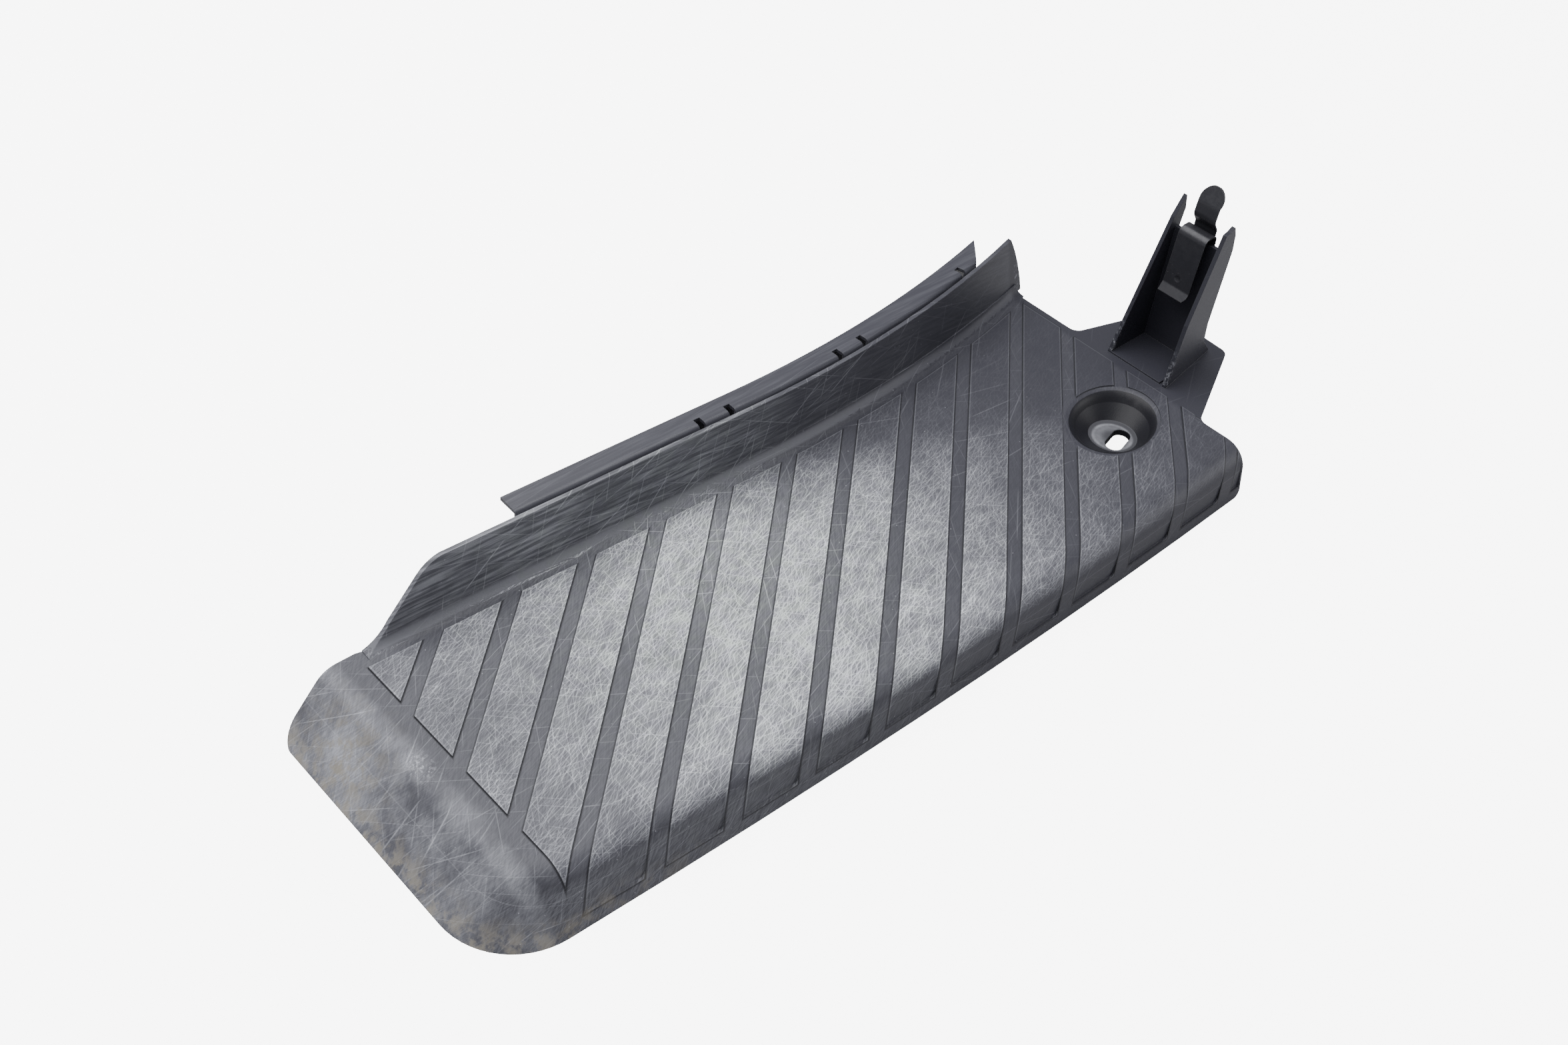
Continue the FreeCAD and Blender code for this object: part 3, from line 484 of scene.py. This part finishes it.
def tread_paint():
    """Black plastic, with all its wear and some painted light and shade in the same paleness: 0 where it is
    clean, and about 1 where it is palest.
    """
    p = Paint("worn_black_plastic")
    pad = p.add("ShaderNodeAttribute", attribute_name="pad").outputs["Fac"]
    soft, edge = p.rounded(0.6)
    top = p.times(p.ramp(p.z, *reversed(SKIRT_TOP)), p.ramp(p.z, 3.0, 1.0))
    cloud = p.noise(46.0, 4.0, 0.6)
    fine_cloud = p.noise(9.0, 4.0, 0.65)
    pad_rub_and_shade, groove_rub = sole_rub(p, cloud)
    dense, haze, few, bold = shoe_marks(p)
    pad_wear_and_shade = p.times(pad_rub_and_shade, p.sum(0.40, p.sum(p.times(haze, 0.42), p.times(dense, 1.05))))
    pad_wear_and_shade = p.times(pad_wear_and_shade, p.ramp(fine_cloud, 0.3, 0.7, 0.78, 1.2))
    groove_wear = p.times(groove_rub, p.sum(0.55, p.sum(p.times(haze, 0.55), p.times(few, 1.8))))
    wear = p.times(p.mix(pad, groove_wear, pad_wear_and_shade), top)
    wear = p.most(wear, skirt_wear(p, haze, few))
    marks = p.most(few, p.times(bold, 1.4))
    left = apron_wear_and_painted_light(p, cloud, fine_cloud, haze, marks)
    rear = p.most(stand_wear_and_painted_light(p, cloud, few, bold), cove_wear(p, pad))
    # left and rear bring in painted light: the apron's painted highlight and shade, and the upstand's
    # lightened scuffs
    wear = p.most(wear, p.most(left, rear))
    wear = p.times(wear, p.ramp(p.x, 304.0, 298.0, 0.1, 1.0))
    cup = in_the_cup(p)
    outer = p.inverse(cup)
    wear = p.sum(p.times(wear, outer), seat_wear(p, fine_cloud))
    wear = p.sum(wear, p.times(p.times(p.times(bold, p.ramp(p.x, 330.0, 150.0, 0.3, 1.0)), 0.11), outer))
    wear = p.sum(wear, p.times(tower_bruises(p), 0.35))
    painted_shade_line, within = pad_outline(p)
    wear = p.sum(wear, p.times(within, p.ramp(p.x, 320.0, -50.0, 0.05, 0.10)))
    wear = p.sum(wear, p.times(edge, 0.06))
    specks = p.times(p.specks(5.0, 0.55, 0.30), p.ramp(p.x, 330.0, 60.0, 0.02, 0.25))
    wear = p.sum(wear, p.times(specks, outer))
    # painted shade: the cup's inner side darker than the plastic around it
    black = p.blend(cup, BLUISH_BLACK, CUP_SHADE_BLACK)
    greenish = p.times(p.hill(-70.0, -30.0, 150.0, 120.0), p.ramp(fine_cloud, 0.35, 0.65))
    colour = p.blend(p.least(wear, 1.0), black, p.blend(greenish, PALE_RUB, GREENISH_RUB))
    # painted shade at the foot of each pad, blended towards SHADOW_BLACK
    colour = p.blend(p.times(painted_shade_line, 0.72), colour, SHADOW_BLACK)
    soiled = p.times(p.ramp(p.x, -150.0, -312.0), p.ramp(p.z, -20.0, -38.0))
    soiled = p.most(soiled, p.times(p.hill(-304.0, 22.0, 16.0, 28.0), 1.2))
    soiled = p.times(soiled, p.ramp(fine_cloud, 0.42, 0.62, 0.0, 0.6))
    colour = p.blend(soiled, colour, EARTH)
    colour = p.blend(rust_spot(p), colour, RUST)
    dullness = p.ramp(wear, 0.0, 0.4, 0.44, 0.75)
    return p.finish(colour, dullness, 0.26, p.noise(0.7, 2.0, 0.6), 0.08, soft)


tread_look = copy_of("tread_panel", "cover", tread_paint())
pads = tread_look.data.attributes.new("pad", "FLOAT", "FACE")
for face in tread_look.data.polygons:
    spot = (face.center - DRAWN) * 1000.0
    pads.data[face.index].value = 1.0 if on_pad(spot, face.normal) else 0.0


# Rear strip: a separate strip of smooth satin plastic, held behind the upstand by moulded studs.
# It is cleaner than the panel, with a faint shine on its flat top and slightly rubbed edges.
strip_paint = Paint("satin_black_plastic")
soft, edge = strip_paint.rounded(0.6)
streaks = strip_paint.noise(3.0, 3.0, 0.6, strip_paint.skin, 20.0, 0)
lines = strip_paint.scratches(-6, 50, 6.0, 0.3, 0.35, 73.0)
worn = strip_paint.sum(strip_paint.ramp(streaks, 0.4, 0.7, 0.02, 0.07), strip_paint.times(lines, 0.08))
worn = strip_paint.sum(worn, strip_paint.times(edge, 0.07))
tint = strip_paint.blend(worn, (0.033, 0.033, 0.044, 1), (0.58, 0.60, 0.66, 1))
strip_paint.finish(tint, 0.38, 0.38, strip_paint.noise(0.8, 2.0), 0.03, soft)
copy_of("rear_strip", "cover", strip_paint.material)


# Tower clip and its release tongue: bent from one strip of spring steel under a satin black coat.
# The coat is thin and a little rough, and rubbed to a dull grey along the edges of the leaf.
coat = Paint("black_coated_steel")
soft, edge = coat.rounded(0.35)
mottle = coat.noise(3.5, 4.0, 0.6)
bare = coat.sum(coat.times(edge, 0.35), coat.times(coat.specks(2.2, 0.35, 0.12), 0.5))
coat_tint = coat.blend(bare, (0.030, 0.030, 0.036, 1), (0.30, 0.30, 0.31, 1))
coat.finish(coat_tint, coat.ramp(mottle, 0.3, 0.7, 0.30, 0.46), 0.5, coat.noise(0.5, 2.0), 0.02, soft, 0.25)
copy_of("tower_clip", "cover", coat.material)
copy_of("tower_clip_tongue", "clip_tongue", coat.material)


# Body clips: small spring clips pushed onto the blades under the tread.
# They are zinc-plated spring steel, brushed along the strip that they were cut from.
zinc = Paint("zinc_steel")
soft, edge = zinc.rounded(0.25)
brushed = zinc.noise(0.5, 2.0, 0.6, zinc.place, 12.0, 90)
zinc_tint = zinc.blend(zinc.ramp(brushed, 0.35, 0.65), (0.44, 0.43, 0.40, 1), (0.60, 0.60, 0.58, 1))
zinc.finish(zinc_tint, zinc.ramp(brushed, 0.3, 0.7, 0.28, 0.42), 0.5, brushed, 0.02, soft, 1.0)
for spot in ("left", "mid", "front"):
    copy_of("body_clip_" + spot, "cover", zinc.material)


# Rest pads: self-adhesive blocks of foam under the tread, between the cover and the step.
# They are dark closed-cell foam with fine pores.
foam = Paint("dark_foam")
soft, edge = foam.rounded(1.0)
pores = foam.add("ShaderNodeTexVoronoi", {"Vector": foam.place, "Scale": 1.4}).outputs["Distance"]
foam_tint = foam.blend(foam.ramp(pores, 0.2, 0.7), (0.028, 0.028, 0.030, 1), (0.075, 0.075, 0.078, 1))
foam.finish(foam_tint, 0.95, 0.1, pores, 0.25, soft)
for spot in ("left", "right", "front_left", "front_right"):
    copy_of("rest_pad_" + spot, "cover", foam.material)
